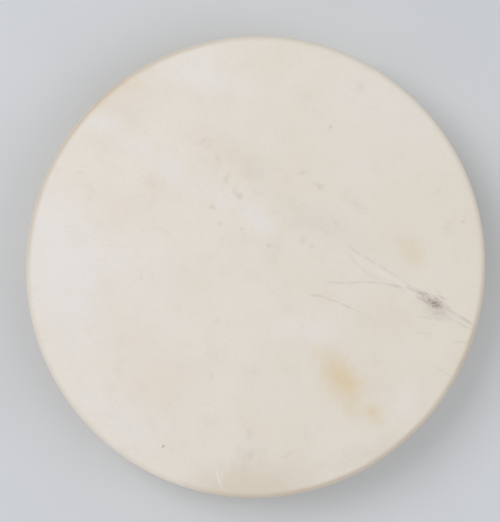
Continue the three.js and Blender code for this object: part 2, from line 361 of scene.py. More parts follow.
def side_bulge(azimuth, z):
    """How far the side stands out: a tension ridge above each hole, and slight unevenness."""
    ridge_height = 0.75 * MM
    swell_height = 0.5 * MM
    ridge = (0.5 + 0.5 * np.cos(HOLES * azimuth + 0.35 * ripple(azimuth, 5, 1, 6))) ** 3
    low_down = 1 - smoothstep(6 * MM, 44 * MM, z)
    halfway = np.sin(math.pi * np.clip(z / TOP, 0, 1))
    swell = 0.5 + 0.25 * ripple(azimuth, 6, 2, 9) + 0.15 * ripple(azimuth, 7, 10, 34)
    return ridge_height * ridge * low_down + swell_height * np.maximum(swell, 0) * halfway


def flange_wave(azimuth, share):
    """The turned-in edge lifts between two holes, where nothing pulls it tight."""
    between = (0.5 - 0.5 * np.cos(HOLES * azimuth)) ** 1.5
    height = 1.5 * MM * (1 + 0.5 * ripple(azimuth, 8, 2, 13))
    return between * height * smoothstep(0.1, 1, share)


def hide_rows(inset):
    """Rows of the hide's outside (inset 0) or inside (inset its thickness), below the head."""
    azimuth = np.arange(HIDE_COLUMNS) * TURN / HIDE_COLUMNS
    corner = CORNER - inset

    def rounded(centre_z, angles):
        for angle in angles:
            z = centre_z + corner * math.sin(angle)
            bulge = side_bulge(azimuth, z) * math.cos(angle)
            yield polar(CORNER_CENTRE + corner * math.cos(angle) + bulge, azimuth, z)

    rows = [*rounded(TOP - CORNER, np.linspace(math.pi / 2, 0, CORNER_ROWS + 1)[1:])]
    for z in np.linspace(TOP - CORNER, CORNER, SIDE_ROWS + 1)[1:-1]:
        rows.append(polar(HEAD_R - inset + side_bulge(azimuth, z), azimuth, z))
    rows += rounded(CORNER, np.linspace(0, -math.pi / 2, CORNER_ROWS + 1))
    for share in np.arange(FLANGE_ROWS + 1) / FLANGE_ROWS:
        radius = LAND_R + (flange_edge(azimuth) - LAND_R) * share
        z = flange_height(radius) + inset + flange_wave(azimuth, share)
        rows.append(polar(radius, azimuth, z))
    return np.stack(rows)


def block_edge(block):
    """The numbers round the edge of a square block of a grid."""
    return np.concatenate([block[0, :-1], block[:-1, -1], block[-1, :0:-1], block[:0:-1, 0]])


def hole_rings(skin, edge, edge_points, azimuth, inset):
    """Rings from a block's edge in to a lace hole, with a swollen lip. Returns the hole's ring.
    Each ring has its share of the way in, and the lip's height there."""
    centre = polar(HOLE_CIRCLE, azimuth)
    from_centre = (edge_points - centre) * [1, 1, 0]
    at_hole = centre + HOLE_R * unit(from_centre)
    lift = edge_points[:, 2] - flange_height(np.hypot(edge_points[:, 0], edge_points[:, 1])) - inset
    lip_side = 1 if inset else -1
    for share, lip in [(0.4, 0), (0.75, 0.16 * MM), (0.95, 0.2 * MM), (1, 0)]:
        ring = edge_points * (1 - share) + at_hole * share
        surface = flange_height(np.hypot(ring[:, 0], ring[:, 1])) + inset
        ring[:, 2] = surface + lift * (1 - share) + lip_side * lip
        inner = skin.add(oval(ring))
        skin.belt(edge, inner)
        edge = inner
    return edge


def hide_side(skin, inset):
    """The hide's outside or inside. Returns the rings round its holes, and its cut edge."""
    disc = skin.add(oval(disc_points(CORNER_CENTRE, TOP - inset)))
    skin.grid(disc)
    points = hide_rows(inset)
    rows = skin.add(oval(points))
    first = len(points) - 1 - FLANGE_ROWS + HOLE_ROW - HOLE_REACH
    span = 2 * HOLE_REACH
    skip, rings = [], []
    for hole in range(HOLES):
        middle = hole * HIDE_COLUMNS // HOLES
        columns = (middle + np.arange(-HOLE_REACH, HOLE_REACH + 1)) % HIDE_COLUMNS
        block = np.ix_(range(first, first + span + 1), columns)
        skip += [(first + row, columns[column]) for row in range(span) for column in range(span)]
        edge = block_edge(rows[block])
        rings.append(hole_rings(skin, edge, block_edge(points[block]), hole * RUN_PITCH, inset))
    skin.grid(rows, closed=True, skip=skip)
    skin.belt(disc_edge(disc), rows[0])
    return [*rings, rows[-1]]


def rawhide_head(hoop, hair_side, flesh_side):
    """The hide. It was soaked, cut to a disc, laced over the hoop and left to dry and shrink."""
    skin = Skin()
    outside = hide_side(skin, 0)
    skin.look = 1
    inside = hide_side(skin, HIDE)
    for one, other in zip(outside, inside):
        skin.belt(one, other)
    head = dressed(skin.made("rawhide_head"), "rawhide", "drum_head", hair_side, flesh_side)


# ---- The hoop ----

def hoop_ends(radius):
    """(lowest, highest) of the hoop's section at a radius."""
    round_in = np.clip(radius - (HOOP_R - HOOP_CORNER), 0, HOOP_CORNER)
    drop = HOOP_CORNER - np.sqrt(HOOP_CORNER**2 - round_in**2)
    slope = HOOP_TOP_SLOPE * np.clip(
        (HOOP_R - HOOP_CORNER - radius) / (HOOP_WALL - HOOP_CORNER), 0, 1
    )
    bevel = np.clip(HOOP_INNER + HOOP_BACK_BEVEL - radius, 0, HOOP_BACK_BEVEL)
    return HOOP_LOW + drop + bevel, HOOP_HIGH - drop - slope


def hoop_section(azimuth, inner, outer):
    """The strip's outline at an azimuth, from inside to outside below, and back above."""
    flat = HOOP_WALL - HOOP_CORNER
    corner = flat + HOOP_CORNER * np.sin(np.radians(np.arange(15, 91, 15)))
    shares = np.concatenate([np.linspace(0, flat, 5), corner]) / HOOP_WALL
    radius = inner + (outer - inner) * shares
    lowest, highest = hoop_ends(radius)
    below = polar(radius, azimuth, lowest)
    above = polar(radius, azimuth, highest)
    return np.concatenate([below, above[::-1]])


def bent_hoop(material):
    """One strip bent round until its two tapered ends overlap in the glued joint."""
    start = SCARF_AZIMUTH - SCARF_SPAN / 2
    end = start + SCARF_SPAN
    joint = np.linspace(start, end, 30)
    outside = HOOP_R - FEATHER
    inside = HOOP_INNER + FEATHER
    glue_line = np.linspace(outside, inside, len(joint))
    before_feather = GAP / HOOP_R  # the space before each thin end
    single = np.linspace(end + before_feather, start + TURN - before_feather, 300)
    sections = [
        *[hoop_section(a, line + GAP / 2, HOOP_R) for a, line in zip(joint, glue_line)],
        *[hoop_section(a, HOOP_INNER, HOOP_R) for a in single],
        *[hoop_section(a, HOOP_INNER, line - GAP / 2) for a, line in zip(joint, glue_line)],
    ]
    skin = Skin()
    skin.body(skin.add(oval(np.stack(sections))))
    hoop = skin.made("bent_hoop")
    bore(hoop, rivet_bores())
    return dressed(hoop, "hoop_wood", "hoop", material)


# ---- Rivets ----

def rivet_places():
    """(azimuth, height) of each rivet: a column on each side of the joint's middle."""
    middle = (HOOP_LOW + HOOP_HIGH) / 2
    return [
        (SCARF_AZIMUTH + column * RIVET_COLUMN_OFFSET, middle + row * RIVET_ROW_PITCH)
        for column in (-1, 1)
        for row in (-1, 0, 1)
    ]


def turn_on_radius(profile, azimuth, height, sides=32, dents=0.0, seed=0):
    """Rings of a small turned piece, whose profile is (distance from the drum's axis, radius)."""
    a = np.arange(sides) * TURN / sides
    uneven = 1 + dents * ripple(a, seed, 2, 5)
    y, z = uneven * np.cos(a), uneven * np.sin(a)
    rows = [xyz(np.full(sides, out), r * y, height + r * z) for out, r in profile]
    return oval(turned(np.stack(rows), azimuth))


def rivet_bores():
    """What is cut from the hoop: each shank's bore, and the seat of each head."""
    beyond = 1 * MM  # the cutter goes this far past both faces
    seat = HOOP_R - RIVET_HEAD_SEAT
    wide = RIVET_HEAD_R + 0.2 * MM
    narrow = RIVET_SHANK_R + 0.1 * MM
    profile = [(HOOP_INNER - beyond, narrow), (seat, narrow), (seat, wide), (HOOP_R + beyond, wide)]
    skin = Skin()
    for azimuth, height in rivet_places():
        skin.body(skin.add(turn_on_radius(profile, azimuth, height)))
    return skin.made("rivet_bores")


def bore(piece, cutter):
    """Cuts the cutter out of the piece, and removes the cutter."""
    cut = piece.modifiers.new("bores", "BOOLEAN")
    cut.object = cutter
    shape = piece.evaluated_get(bpy.context.evaluated_depsgraph_get())
    piece.data = bpy.data.meshes.new_from_object(shape)
    piece.modifiers.clear()
    bpy.data.objects.remove(cutter)


def rivet(number, azimuth, height, material):
    """A flat head sunk in the hoop, a shank, and a tail hammered into a dome over the burr."""
    burr_face = HOOP_INNER - BURR_THICKNESS
    under_tail = burr_face - 0.05 * MM
    under_head = HOOP_R - RIVET_HEAD_SEAT + 0.1 * MM
    dome = [(math.cos(a), math.sin(a)) for a in np.radians([8, 30, 50, 70, 90])]
    profile = [
        *[(burr_face - RIVET_TAIL_HEIGHT * up, RIVET_TAIL_R * out) for up, out in dome],
        (under_tail, RIVET_TAIL_R),
        (under_tail, RIVET_SHANK_R),
        (under_head, RIVET_SHANK_R),
        (under_head, RIVET_HEAD_R),
        (HOOP_R - 0.5 * MM, RIVET_HEAD_R),
        (HOOP_R - 0.2 * MM, RIVET_HEAD_R * 0.93),
        (HOOP_R - 0.15 * MM, RIVET_HEAD_R * 0.8),
    ]
    skin = Skin()
    skin.body(skin.add(turn_on_radius(profile, azimuth, height, dents=0.05, seed=number)))
    dressed(skin.made(f"copper_rivet_{number}"), "copper", f"scarf_rivet_{number}", material)


def burr(number, azimuth, height, material):
    """A slightly dished washer with a rounded edge."""
    on_hoop = HOOP_INNER - 0.1 * MM
    face = on_hoop - BURR_THICKNESS + 0.2 * MM
    hole = RIVET_SHANK_R + 0.15 * MM
    profile = [
        (face, hole),
        (face - 0.1 * MM, BURR_R * 0.6),
        (face, BURR_R * 0.92),
        (face + 0.15 * MM, BURR_R * 0.98),
        (face + 0.35 * MM, BURR_R),
        (on_hoop, BURR_R * 0.97),
        (on_hoop, hole),
    ]
    skin = Skin()
    points = turn_on_radius(profile, azimuth, height, dents=0.015, seed=20 + number)
    skin.closed_ring(skin.add(points))
    dressed(skin.made(f"copper_burr_{number}"), "copper", f"scarf_burr_{number}", material)


# ---- The ring ----

def centre_ring(material):
    """A bent steel bar, whose two ends meet in a weld that stands a little proud."""
    azimuth = np.linspace(0, TURN, 180, endpoint=False)[:, None]
    around = np.linspace(0, TURN, 20, endpoint=False)[None, :]
    from_weld = (azimuth - WELD_AZIMUTH) * RING_R
    one_side = 0.5 + 0.5 * np.cos(around - 0.6)
    bead = np.exp(-((from_weld / (2.2 * MM)) ** 2)) * one_side
    waves = 1 + 0.25 * np.sin(from_weld / (0.5 * MM) + 2 * around)
    bar = BAR_R * (1 + 0.2 * bead * waves)
    points = polar(RING_R + bar * np.cos(around), azimuth, RING_Z + bar * np.sin(around))
    skin = Skin()
    skin.closed_ring(skin.add(oval(points)))
    dressed(skin.made("steel_ring"), "ring_steel", "centre_ring", material)


# ---- Strips of leather ----

STRIP_SIDES = 16
LACE_SOFTNESS = 0.7


def leather_strip(skin, path, across, through, half_width, half_thickness, softness):
    """A closed strip along a path. Across and through are the ways of its width and thickness,
    and softness is 1 for an oval section, less for one with tighter corners."""
    a = np.arange(STRIP_SIDES) * TURN / STRIP_SIDES
    x = np.sign(np.cos(a)) * np.abs(np.cos(a)) ** softness
    y = np.sign(np.sin(a)) * np.abs(np.sin(a)) ** softness
    width = np.broadcast_to(half_width, len(path))[:, None, None]
    thickness = np.broadcast_to(half_thickness, len(path))[:, None, None]
    spread = across[:, None] * width * x[:, None] + through[:, None] * thickness * y[:, None]
    skin.body(skin.add(oval(path[:, None] + spread)))


def directions(path):
    return unit(np.gradient(path, axis=0))


def carried_along(path, first):
    """A way across a path, carried from its first point without turning about the path."""
    across = np.empty_like(path)
    way = np.array(first, float)
    for i, forward in enumerate(directions(path)):
        way = unit(way - forward * (way @ forward))
        across[i] = way
    return across


def twisted_strip(skin, path, first, twist, half_width, half_thickness):
    """A strip that dried with a twist in it. Twist is its angle at each point of the path."""
    across = carried_along(path, first)
    through = np.cross(directions(path), across)
    c, s = np.cos(twist)[:, None], np.sin(twist)[:, None]
    ways = across * c + through * s, through * c - across * s
    leather_strip(skin, path, *ways, half_width, half_thickness, LACE_SOFTNESS)


# ---- The lace ----

def arm_height(radius):
    return RING_Z - (radius - RING_R) * ARM_SLOPE


def on_ring(azimuth, degrees):
    """The lace's middle on the bar: 0 degrees faces outwards, 90 is on top, 180 inside the ring."""
    a = np.radians(degrees)
    return polar(RING_R + HOOK_R * np.cos(a), azimuth, RING_Z + HOOK_R * np.sin(a))


def hook(place, side):
    """From inside the ring to where the strand leaves it, below the bar (-1) or above it (1)."""
    sweep = 96  # degrees round the bar
    share = np.linspace(1, 0, 16)
    return on_ring((place + side * share / 2) * HOOK_PITCH, 180 - side * sweep * (1 - share))


def through_grip(place, slot):
    """Straight through the grip and then aside towards the hole. The outer strands turn first."""
    def at(radius):
        sideways, up = slot
        return np.array([radius, sideways * SLOT_PITCH, arm_height(radius) + up * SLOT_RISE])

    enter = at(GRIP_START - 1 * MM)
    leave = at(GRIP_END + 5 * MM - 2 * MM * abs(place))
    heading = unit(polar(HOLE_CIRCLE, place * RUN_PITCH, leave[2]) - leave)
    bend = leave + 3 * MM * unit(heading + [1, 0, 0])
    return np.stack([enter, leave, bend])


def turn_in_hole(place, approach):
    hole = polar(HOLE_CIRCLE, place * RUN_PITCH, FOOT_HEIGHT)
    heading = unit((hole - approach) * [1, 1, 0])
    foot = hole - heading * FOOT_SETBACK
    angle = np.radians(np.linspace(-90, 90, 13))[:, None]
    return foot + EDGE_TURN_R * (heading * np.cos(angle) + UP * np.sin(angle))


def run(index):
    """Under the ring's bar, out to a hole, up through it and back over the bar, along +X."""
    place = index - (RUNS - 1) / 2
    out, back = BUNDLE[index]
    below = through_grip(place, out)
    above = through_grip(place, back)
    turn = turn_in_hole(place, below[-1])
    return np.concatenate([hook(place, -1), below, turn, above[::-1], hook(place, 1)[:0:-1]])


def lace_route():
    """From the knot round the inside of the ring, arm by arm, and back to the knot."""
    edge = RUNS / 2 * HOOK_PITCH  # of an arm's hooks
    arm = np.concatenate([run(index) for index in range(RUNS)])
    passage = on_ring(np.linspace(edge, ARM_PITCH - edge, 24)[:-1], 180)
    near = KNOT_LENGTH / 2 + GAP
    far = near + 1.5 * MM
    knot_way = polar(1, KNOT_AZIMUTH + TURN / 4)
    first = [knot_centre() + knot_way * near, knot_centre() + knot_way * far]
    last = [knot_centre() - knot_way * far, knot_centre() - knot_way * near]
    route = [first, [on_ring(-edge - HOOK_PITCH, 180)]]
    for i in range(ARMS):
        route.append(turned(arm, i * ARM_PITCH))
        if i < ARMS - 1:
            route.append(turned(passage, i * ARM_PITCH))
    beyond = edge - ARM_PITCH
    route += [on_ring(np.array([beyond, beyond + HOOK_PITCH]), 180), last]
    return np.concatenate(route)


def path_length(path):
    """How far along the path each of its points is."""
    return np.append(0, np.cumsum(np.linalg.norm(np.diff(path, axis=0), axis=1)))


def smoothed(path, step, passes):
    """The path in even steps, with its corners rounded and its two ends kept."""
    length = path_length(path)
    even = np.linspace(0, length[-1], int(length[-1] / step))
    path = np.stack([np.interp(even, length, path[:, i]) for i in range(3)], axis=-1)
    for _ in range(passes):
        path[1:-1] = (path[:-2] + 2 * path[1:-1] + path[2:]) / 4
    return path


def thinned(path, longest, sharpest):
    """Leaves out points where the path is nearly straight."""
    ways = directions(path)
    length = path_length(path)
    kept = [0]
    for i in range(1, len(path) - 1):
        bent = ways[i] @ ways[kept[-1]] < math.cos(sharpest)
        if bent or length[i] - length[kept[-1]] > longest:
            kept.append(i)
    return path[kept + [len(path) - 1]]


def rawhide_lace(material):
    """The whole lace. Its twist is uneven, and where it is wider it is thinner."""
    route = smoothed(lace_route(), step=0.5 * MM, passes=5)
    path = thinned(route, longest=2.4 * MM, sharpest=math.radians(11))
    length = path_length(path)
    way_along = TURN * length / length[-1]
    twist = TURN * length / LACE_TWIST + 1.6 * ripple(way_along, 31, 20, 60)
    wider = 1 + 0.07 * ripple(way_along, 32, 60, 160)
    skin = Skin()
    twisted_strip(skin, path, UP, twist, LACE_HALF_WIDTH * wider, LACE_HALF_THICKNESS / wider)
    dressed(skin.made("twisted_lace"), "lace", "rawhide_lace", material)


def knot_centre():
    return polar(RING_R - BAR_R - GAP - KNOT_R, KNOT_AZIMUTH, RING_Z)


def knot_tail(way, side):
    """One end of the lace, which comes out of the knot beside it and curls in and up."""
    share = np.linspace(0, 1, 14)[:, None]
    along = side * (KNOT_LENGTH / 2 - 1.2 * MM + KNOT_TAIL * share)
    inwards = 1.5 * MM + 3.5 * MM * share**2
    upwards = 0.4 * MM + 2.6 * MM * share
    return knot_centre() + along * way - inwards * polar(1, KNOT_AZIMUTH) + upwards * UP


def tied_knot(material):
    """A barrel knot: the two ends go through a coil of the lace, and stick out of it."""
    way = polar(1, KNOT_AZIMUTH + TURN / 4)
    inwards = -polar(1, KNOT_AZIMUTH)
    turns = 2.3
    half_width = 1.2 * MM
    half_thickness = 0.72 * MM
    share = np.linspace(-1, 1, 64)[:, None]
    angle = (share + 1) / 2 * turns * TURN
    radial = inwards * np.cos(angle) + UP * np.sin(angle)
    along = share * (KNOT_LENGTH / 2 - 1.1 * MM)
    coil = knot_centre() + way * along + radial * (KNOT_R - 0.75 * MM)
    across = np.broadcast_to(way, coil.shape)
    skin = Skin()
    leather_strip(skin, coil, across, radial, half_width, half_thickness, LACE_SOFTNESS)
    core = knot_centre() + way * np.linspace(-1, 1, 5)[:, None] * KNOT_LENGTH / 2
    twisted_strip(skin, core, UP, np.zeros(5), LACE_HALF_WIDTH, LACE_HALF_THICKNESS)
    for side in (-1, 1):
        tail = knot_tail(way, side)
        taper = np.linspace(1, 0.6, len(tail))
        twist = side * np.linspace(0, 1.2, len(tail))
        twisted_strip(skin, tail, UP, twist, 1.15 * MM * taper, 0.6 * MM)
    dressed(skin.made("lace_ends_knot"), "lace", "lace_knot", material)


# ---- The suede grip ----

def suede_wrap(number, material):
    """A strip wound round a bundle of lacing. Each turn laps a third of the one before, and the
    strip narrows at both ends, where it is tucked in."""
    arm_azimuth = (number - 1) * ARM_PITCH
    width = 6.6 * MM
    half_thickness = 0.48 * MM
    pitch = (GRIP_END - GRIP_START - width) / GRIP_TURNS
    lean = math.atan(1.15 * MM / pitch)  # because each turn lies on the one before
    angle = np.linspace(0, GRIP_TURNS * TURN, GRIP_TURNS * 40)
    wander = ripple(angle / GRIP_TURNS, 40 + number, 3, 24)
    from_ends = smoothstep(0, 0.3, angle / TURN) * smoothstep(0, 0.3, GRIP_TURNS - angle / TURN)
    tucked_in = 0.4 * MM * (1 - from_ends)
    radius = GRIP_BORE - 0.1 * MM + width / 2 * math.sin(lean) - tucked_in
    x = GRIP_START + width / 2 + pitch * angle / TURN + 0.25 * MM * wander - RING_R
    forward = np.array([1.0, 0.0, 0.0])
    radial = xyz(np.zeros_like(angle), np.cos(angle), np.sin(angle))
    path = forward * x[:, None] + radial * radius[:, None]
    across = forward * math.cos(lean) + radial * math.sin(lean)
    through = radial * math.cos(lean) - forward * math.sin(lean)
    half_width = width / 2 * (0.35 + 0.65 * from_ends) * (1 + 0.05 * wander)

    def into_place(points):
        """From the wrap's own axis to the slope of its bundle."""
        slope = -math.atan(ARM_SLOPE)
        c, s = math.cos(slope), math.sin(slope)
        x, y, z = points[:, 0], points[:, 1], points[:, 2] * GRIP_FLATNESS
        return turned(xyz(x * c - z * s, y, x * s + z * c), arm_azimuth)

    at_ring = polar(RING_R, arm_azimuth, RING_Z)
    ways = into_place(across), into_place(through)
    skin = Skin()
    leather_strip(skin, into_place(path) + at_ring, *ways, half_width, half_thickness, softness=0.5)
    dressed(skin.made(f"suede_wrap_{number}"), "suede", f"grip_wrap_{number}", material)


# ---- Nodes of a material ----

def linear(red, green, blue):
    """A colour for Blender, from its levels out of 255 on a screen."""
    levels = np.array([red, green, blue]) / 255
    return (*np.where(levels > 0.04045, ((levels + 0.055) / 1.055) ** 2.4, levels / 12.92), 1)


class Nodes:
    """A material whose nodes are made by calls. Each call's inputs are sockets or plain values."""

    def __init__(self, name):
        self.material = bpy.data.materials.new(name)
        self.material.use_nodes = True
        self.tree = self.material.node_tree
        self.shader = self.tree.nodes["Principled BSDF"]
        self.place = self.node("ShaderNodeTexCoord", {}, "Object")

    def put(self, value, socket):
        if isinstance(value, bpy.types.NodeSocket):
            self.tree.links.new(value, socket)
        else:
            socket.default_value = value

    def node(self, kind, inputs, output=0, **settings):
        made = self.tree.nodes.new(kind)
        for name, value in settings.items():
            setattr(made, name, value)
        for key, value in inputs.items():
            self.put(value, made.inputs[key])
        return made.outputs[output]

    def shade(self, **inputs):
        """Sets the shader's inputs, with _ for a space in a name."""
        for name, value in inputs.items():
            self.put(value, self.shader.inputs[name.replace("_", " ")])
        return self.material

    def math(self, operation, one, other=0.0):
        return self.node("ShaderNodeMath", {0: one, 1: other}, operation=operation)

    def times(self, one, other):
        return self.math("MULTIPLY", one, other)

    def vector(self, operation, one, other=(0, 0, 0)):
        return self.node("ShaderNodeVectorMath", {0: one, 1: other}, operation=operation)

    def length(self, vector):
        return self.node("ShaderNodeVectorMath", {0: vector}, "Value", operation="LENGTH")

    def flat(self, place):
        """The place, at height 0."""
        return self.vector("MULTIPLY", place, (1, 1, 0))

    def part(self, vector, axis):
        return self.node("ShaderNodeSeparateXYZ", {0: vector}, axis)

    def joined(self, x, y, z):
        return self.node("ShaderNodeCombineXYZ", {0: x, 1: y, 2: z})

    def between(self, value, low, high, start=0.0, end=1.0):
        """From start to end, smoothly, as the value goes from low to high."""
        inputs = {0: value, 1: low, 2: high, 3: start, 4: end}
        return self.node("ShaderNodeMapRange", inputs, interpolation_type="SMOOTHSTEP")

    def mix(self, share, one, other):
        return self.node("ShaderNodeMix", {0: share, 6: one, 7: other}, 2, data_type="RGBA")

    def painted(self, colour, *coats):
        """The colour under its coats. Each coat is how thick it lies, from 0 to 1, and its paint."""
        for share, paint in coats:
            colour = self.mix(share, colour, linear(*paint))
        return colour

    def noise(self, size, detail=3.0, rough=0.55, where=None, twist=0.0):
        """Cloudy noise from 0 to 1, whose blots are about that many metres wide."""
        inputs = {"Vector": where or self.place, "Scale": 1 / size, "Detail": detail}
        inputs |= {"Roughness": rough, "Distortion": twist}
        return self.node("ShaderNodeTexNoise", inputs)

    def clouds(self, size, low, high, detail=3.0, most=1.0, where=None):
        """Blots that go from 0 up to most, as the noise goes from low to high."""
        return self.between(self.noise(size, detail, where=where), low, high, 0.0, most)

    def seen_through(self, location, angle, size, where=None):
        """The place as seen from an oval's own axes: its edge is 1 away from its middle."""
        inputs = {0: where or self.place, "Location": location}
        inputs |= {"Rotation": (0, 0, angle), "Scale": size}
        return self.node("ShaderNodeMapping", inputs, vector_type="TEXTURE")

    def stretched(self, x, y, z, angle=0.0):
        """The place, with blots drawn out by these factors."""
        return self.seen_through((0, 0, 0), angle, (x, y, z))

    def warped(self, where, size, amount, detail=2.0):
        inputs = {"Vector": self.place, "Scale": 1 / size, "Detail": detail}
        blot = self.node("ShaderNodeTexNoise", inputs, "Color")
        shift = self.vector("SUBTRACT", blot, (0.5, 0.5, 0.5))
        return self.vector("ADD", where, self.vector("MULTIPLY", shift, (amount, amount, 0)))

    def relief(self, *layers):
        """A surface under layers of relief. Each is its depth, and its height from 0 to 1."""
        below = {}
        for depth, height in layers:
            made = self.node("ShaderNodeBump", {"Height": height, "Distance": depth} | below)
            below = {"Normal": made}
        return made

    def mark(self, where, start, end, width, strength, core=0.0):
        """A soft-edged stroke from start to end: its strength in its core, and 0 past its edge."""
        middle = ((start[0] + end[0]) / 2, (start[1] + end[1]) / 2, 0)
        reach = math.dist(start, end) / 2 + width
        angle = math.atan2(end[1] - start[1], end[0] - start[0])
        seen = self.seen_through(middle, angle, (reach, width, 1), where)
        return self.between(self.length(seen), 1, core, 0, strength)

    def strongest(self, where, marks, most=0.0):
        """The highest of many marks, and of most. Each mark waits for the one before it, of which
        its place takes nothing, because a renderer that holds them all at once runs out of room."""
        for mark in marks:
            inputs = {0: self.math("ADD", most, 0), 1: (0, 0, 0), 2: where}
            here = self.node("ShaderNodeVectorMath", inputs, operation="MULTIPLY_ADD")
            most = self.math("MAXIMUM", most, self.mark(here, *mark))
        return most


# ---- What marks the head, in shares of its radius ----

# Hairline scratches, from point to point, with their strengths.
SCRATCH_WIDTH = 0.0092
SCRATCH_DARKNESS = 0.82  # of one whose strength is 1
SCRATCHES = [
    ([(0.4, 0.09), (0.46, 0.05), (0.53, 0.01), (0.58, -0.02)], 0.18),
    ([(0.56, -0.01), (0.63, -0.05), (0.69, -0.1)], 0.12),
    ([(0.4, 0.06), (0.45, 0.0), (0.5, -0.04)], 0.13),
    ([(0.48, -0.02), (0.56, -0.07), (0.64, -0.1)], 0.1),
    ([(0.31, -0.066), (0.39, -0.07), (0.46, -0.063), (0.54, -0.069), (0.61, -0.08)], 0.2),
    ([(0.57, -0.074), (0.64, -0.087), (0.7, -0.105)], 0.26),
    ([(0.235, -0.118), (0.3, -0.131), (0.36, -0.155), (0.42, -0.182)], 0.2),
    ([(0.42, -0.18), (0.47, -0.21), (0.52, -0.24)], 0.08),
    ([(0.69, -0.28), (0.73, -0.288), (0.76, -0.292)], 0.13),
    ([(0.855, -0.322), (0.885, -0.326), (0.92, -0.327)], 0.16),
    ([(0.78, -0.43), (0.82, -0.455), (0.85, -0.478)], 0.11),
    ([(0.79, -0.16), (0.87, -0.205), (0.95, -0.255)], 0.34),
    ([(0.8, -0.168), (0.87, -0.212), (0.94, -0.255)], 0.2),
    ([(0.8, -0.2), (0.86, -0.232), (0.94, -0.272)], 0.24),
    ([(0.71, -0.215), (0.77, -0.225), (0.81, -0.22)], 0.16),
]

# The dark scar by the rim: start, end, width and strength.
SCAR_STAINS = [
    ((0.69, -0.105), (0.83, -0.195), 0.032, 0.46),
    ((0.745, -0.14), (0.805, -0.175), 0.04, 0.86),
    ((0.69, -0.1), (0.75, -0.135), 0.018, 0.55),
    ((0.75, -0.165), (0.82, -0.21), 0.055, 0.32),
    ((0.64, -0.075), (0.72, -0.12), 0.014, 0.22),
]
SCAR_HAIRS = 30
SCAR_LIE = math.radians(-32)

# Pale scratches: start, end, width and strength.
PALE_SCRATCHES = [
    ((-0.174, -0.862), (-0.143, -0.97), 0.007, 0.6),
    ((-0.15, -0.88), (-0.138, -0.925), 0.006, 0.3),
    ((0.6, -0.05), (0.7, -0.13), 0.012, 0.35),
    ((0.48, 0.01), (0.64, -0.08), 0.014, 0.3),
]

# Small follicles and specks: place, radius and strength.
SPECK_FADE = 1.5  # a speck has faded away this many of its radii from its middle
SPECKS = [
    ((-0.399, -0.775), 0.0065, 0.7),
    ((-0.07, 0.306), 0.016, 0.21),
    ((-0.09, 0.322), 0.012, 0.14),
    ((0.326, 0.606), 0.008, 0.2),
    ((-0.187, 0.258), 0.013, 0.18),
    ((-0.152, 0.185), 0.012, 0.15),
    ((-0.06, 0.163), 0.009, 0.18),
    ((-0.052, 0.13), 0.008, 0.1),
    ((0.06, 0.093), 0.012, 0.14),
    ((0.345, 0.19), 0.012, 0.12),
    ((0.205, 0.115), 0.02, 0.12),
    ((0.245, 0.09), 0.014, 0.1),
    ((-0.487, 0.16), 0.01, 0.08),
    ((-0.493, -0.047), 0.007, 0.1),
    ((-0.76, 0.406), 0.008, 0.14),
    ((0.456, 0.784), 0.024, 0.11),
]

# Faint brown streaks: start, end, width and strength.
STREAK_CORE = 0.2  # the share of a streak, or of a pale scratch, that is at its full strength
STREAKS = [
    ((-0.12, 0.4), (-0.13, 0.365), 0.018, 0.24),
    ((-0.2, 0.555), (-0.205, 0.52), 0.029, 0.16),
    ((-0.15, 0.44), (-0.175, 0.485), 0.016, 0.17),
    ((-0.26, 0.53), (-0.19, 0.56), 0.016, 0.15),
    ((0.3, 0.335), (0.255, 0.365), 0.018, 0.25),
    ((0.18, 0.4), (0.235, 0.42), 0.013, 0.25),
    ((0.03, 0.395), (-0.06, 0.41), 0.046, 0.13),
    ((0.38, 0.3), (0.47, 0.24), 0.039, 0.17),
    ((-0.456, 0.376), (-0.446, 0.366), 0.039, 0.12),
    ((0.786, 0.33), (0.79, 0.322), 0.016, 0.3),
    ((0.82, 0.15), (0.84, 0.19), 0.031, 0.12),
    ((0.89, 0.196), (0.905, 0.194), 0.01, 0.25),
    ((-0.022, -0.7), (-0.03, -0.745), 0.026, 0.17),
    ((-0.05, -0.85), (-0.01, -0.8), 0.029, 0.18),
    ((-0.09, -0.86), (-0.06, -0.87), 0.039, 0.15),
    ((0.125, -0.822), (0.16, -0.8), 0.018, 0.2),
    ((-0.195, -0.5), (-0.19, -0.45), 0.01, 0.2),
    ((0.06, 0.02), (0.1, 0.12), 0.065, 0.1),
]

# Broad greyish-brown smudges: start, end, width and strength, and the first one's core. The first,
# along the bottom edge of the head, is painted shade.
SMUDGES_AND_SHADE = [
    ((-0.2, -1.0), (0.22, -1.0), 0.23, 0.72, 0.1),
    ((-0.72, 0.56), (-0.5, 0.76), 0.22, 0.16),
    ((-0.07, -0.86), (0.0, -0.78), 0.09, 0.3),
    ((0.3, -0.9), (0.68, -0.72), 0.08, 0.3),
    ((-0.18, 0.56), (0.1, 0.38), 0.1, 0.22),
    ((0.03, 0.33), (0.5, 0.08), 0.12, 0.26),
]

# Amber stains, where fat has soaked in: start, end, width and strength.
AMBER_STAINS = [
    ((0.335, -0.39), (0.41, -0.6), 0.115, 0.85),
    ((0.34, -0.415), (0.4, -0.585), 0.065, 0.8),
    ((0.24, -0.37), (0.33, -0.4), 0.06, 0.26),
    ((0.4, -0.59), (0.5, -0.64), 0.055, 0.3),
    ((0.5, -0.625), (0.512, -0.66), 0.066, 0.55),
    ((0.65, 0.08), (0.705, 0.03), 0.09, 0.36),
    ((0.54, -0.16), (0.6, -0.25), 0.09, 0.13),
    ((-0.74, 0.66), (-0.52, 0.84), 0.07, 0.3),
    ((0.26, -0.11), (0.33, -0.13), 0.05, 0.16),
    ((0.35, -0.5), (0.42, -0.56), 0.17, 0.22),
    ((0.88, -0.38), (0.93, -0.45), 0.07, 0.22),
    ((-0.23, -0.96), (0.12, -0.93), 0.16, 0.17),
]

